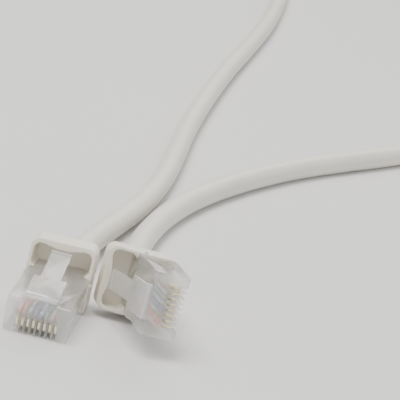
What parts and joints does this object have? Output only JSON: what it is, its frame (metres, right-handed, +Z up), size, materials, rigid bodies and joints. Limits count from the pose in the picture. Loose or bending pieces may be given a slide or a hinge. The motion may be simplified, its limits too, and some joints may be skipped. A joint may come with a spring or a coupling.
{
  "type": "ethernet patch cable",
  "caption": "Network patch cable with clear modular plugs, hooded boots, sprung latches, gold contacts and coloured wires, its spare length coiled and tied",
  "frame": {"origin": "on the surface the cable lies on, under the middle of the box round the two plugs and boots", "axes": "+Z up; -Y is the side that both plugs face; +X to the right as seen from that side"},
  "size_m": [0.1075, 0.4531, 0.0159],
  "materials": {
    "clear_housing": "clear moulded polycarbonate",
    "clear_latch": "clear moulded polycarbonate, slightly frosted",
    "clear_bar": "clear moulded polycarbonate",
    "gold_contact": "gold-plated phosphor bronze",
    "copper": "bare stranded copper",
    "boot": "matt moulded soft plastic, warm light grey",
    "cable_jacket": "satin extruded soft plastic, warm light grey",
    "tie": "woven hook-and-loop strap",
    "wire_white_orange": "satin wire insulation",
    "wire_orange": "satin wire insulation",
    "wire_white_green": "satin wire insulation",
    "wire_blue": "satin wire insulation",
    "wire_white_blue": "satin wire insulation",
    "wire_green": "satin wire insulation",
    "wire_white_brown": "satin wire insulation",
    "wire_brown": "satin wire insulation"
  },
  "bodies": {
    "root": {"boot_a": "boot", "boot_b": "boot", "cable_a": "cable_jacket", "cable_b": "cable_jacket", "cable_coil": "cable_jacket", "coil_tie": "tie", "contact_1_a": "gold_contact", "contact_1_b": "gold_contact", "contact_2_a": "gold_contact", "contact_2_b": "gold_contact", "contact_3_a": "gold_contact", "contact_3_b": "gold_contact", "contact_4_a": "gold_contact", "contact_4_b": "gold_contact", "contact_5_a": "gold_contact", "contact_5_b": "gold_contact", "contact_6_a": "gold_contact", "contact_6_b": "gold_contact", "contact_7_a": "gold_contact", "contact_7_b": "gold_contact", "contact_8_a": "gold_contact", "contact_8_b": "gold_contact", "cores_a": "copper", "cores_b": "copper", "housing_a": "clear_housing", "housing_b": "clear_housing", "jacket_end_a": "cable_jacket", "jacket_end_b": "cable_jacket", "strain_bar_a": "clear_bar", "strain_bar_b": "clear_bar", "wire_1_a": "wire_white_orange", "wire_1_b": "wire_white_orange", "wire_2_a": "wire_orange", "wire_2_b": "wire_orange", "wire_3_a": "wire_white_green", "wire_3_b": "wire_white_green", "wire_4_a": "wire_blue", "wire_4_b": "wire_blue", "wire_5_a": "wire_white_blue", "wire_5_b": "wire_white_blue", "wire_6_a": "wire_green", "wire_6_b": "wire_green", "wire_7_a": "wire_white_brown", "wire_7_b": "wire_white_brown", "wire_8_a": "wire_brown", "wire_8_b": "wire_brown"},
    "latch_a": {"latch_a": "clear_latch"},
    "latch_b": {"latch_b": "clear_latch"}
  },
  "joints": [
    {"name": "latch_a_flex", "type": "hinge", "parent": "root", "child": "latch_a", "pos_m": [-0.00965, -0.01361, 0.00685], "axis": [0.9969, -0.0785, 0], "range_deg": [-10, 0], "stiffness_Nm_per_rad": 0.08},
    {"name": "latch_b_flex", "type": "hinge", "parent": "root", "child": "latch_b", "pos_m": [0.00831, -0.01192, 0.00993], "axis": [0.0563, 0.1872, 0.9807], "range_deg": [-10, 0], "stiffness_Nm_per_rad": 0.08}
  ]
}
